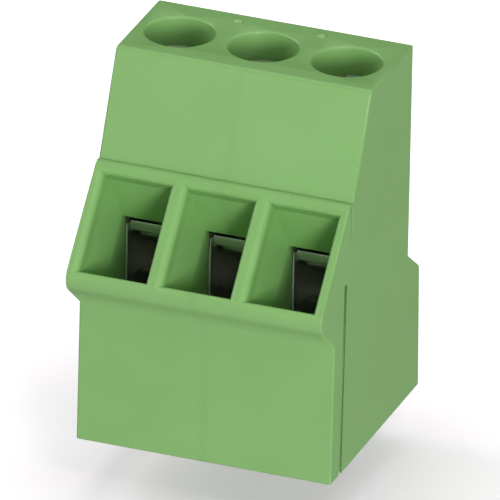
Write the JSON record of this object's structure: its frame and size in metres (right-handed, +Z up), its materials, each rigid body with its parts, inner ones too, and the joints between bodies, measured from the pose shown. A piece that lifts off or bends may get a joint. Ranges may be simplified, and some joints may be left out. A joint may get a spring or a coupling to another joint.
{
  "type": "screw terminal block",
  "caption": "Moulded board-mount screw terminal block with inclined wire funnels, screws in bores on top, rising clamp sleeves inside and solder pins below.",
  "frame": {"origin": "on the board plane, in the middle of the row of solder pins", "axes": "+X along the row of poles, +Y away from the wire side, +Z up from the board"},
  "size_m": [0.0156, 0.0168, 0.0259],
  "materials": {
    "moulded_polyamide": "satin moulded",
    "plated_steel_screw": "nickel plated",
    "plated_steel_sleeve": "nickel plated",
    "tinned_copper": "bright tin plated"
  },
  "bodies": {
    "root": {"housing": "moulded_polyamide", "contact_1": "tinned_copper", "contact_2": "tinned_copper", "contact_3": "tinned_copper"},
    "screw_1": {"clamp_screw_1": "plated_steel_screw"},
    "sleeve_1": {"tension_sleeve_1": "plated_steel_sleeve"},
    "screw_2": {"clamp_screw_2": "plated_steel_screw"},
    "sleeve_2": {"tension_sleeve_2": "plated_steel_sleeve"},
    "screw_3": {"clamp_screw_3": "plated_steel_screw"},
    "sleeve_3": {"tension_sleeve_3": "plated_steel_sleeve"}
  },
  "joints": [
    {"name": "screw_turn_1", "type": "hinge", "parent": "root", "child": "screw_1", "pos_m": [-0.00508, -0.00258, 0.01097], "axis": [0, 0, -1], "range_deg": [0, 1261]},
    {"name": "sleeve_rise_1", "type": "slide", "parent": "root", "child": "sleeve_1", "axis": [0, 0, 1], "range_m": [0, 0.00175]},
    {"name": "screw_turn_2", "type": "hinge", "parent": "root", "child": "screw_2", "pos_m": [0, -0.00258, 0.01097], "axis": [0, 0, -1], "range_deg": [0, 1261]},
    {"name": "sleeve_rise_2", "type": "slide", "parent": "root", "child": "sleeve_2", "axis": [0, 0, 1], "range_m": [0, 0.00175]},
    {"name": "screw_turn_3", "type": "hinge", "parent": "root", "child": "screw_3", "pos_m": [0.00508, -0.00258, 0.01097], "axis": [0, 0, -1], "range_deg": [0, 1261]},
    {"name": "sleeve_rise_3", "type": "slide", "parent": "root", "child": "sleeve_3", "axis": [0, 0, 1], "range_m": [0, 0.00175]}
  ],
  "couplings": [
    {"joint": "screw_turn_1", "follows": "sleeve_rise_1", "rad_per_m": 12566},
    {"joint": "screw_turn_2", "follows": "sleeve_rise_2", "rad_per_m": 12566},
    {"joint": "screw_turn_3", "follows": "sleeve_rise_3", "rad_per_m": 12566}
  ]
}
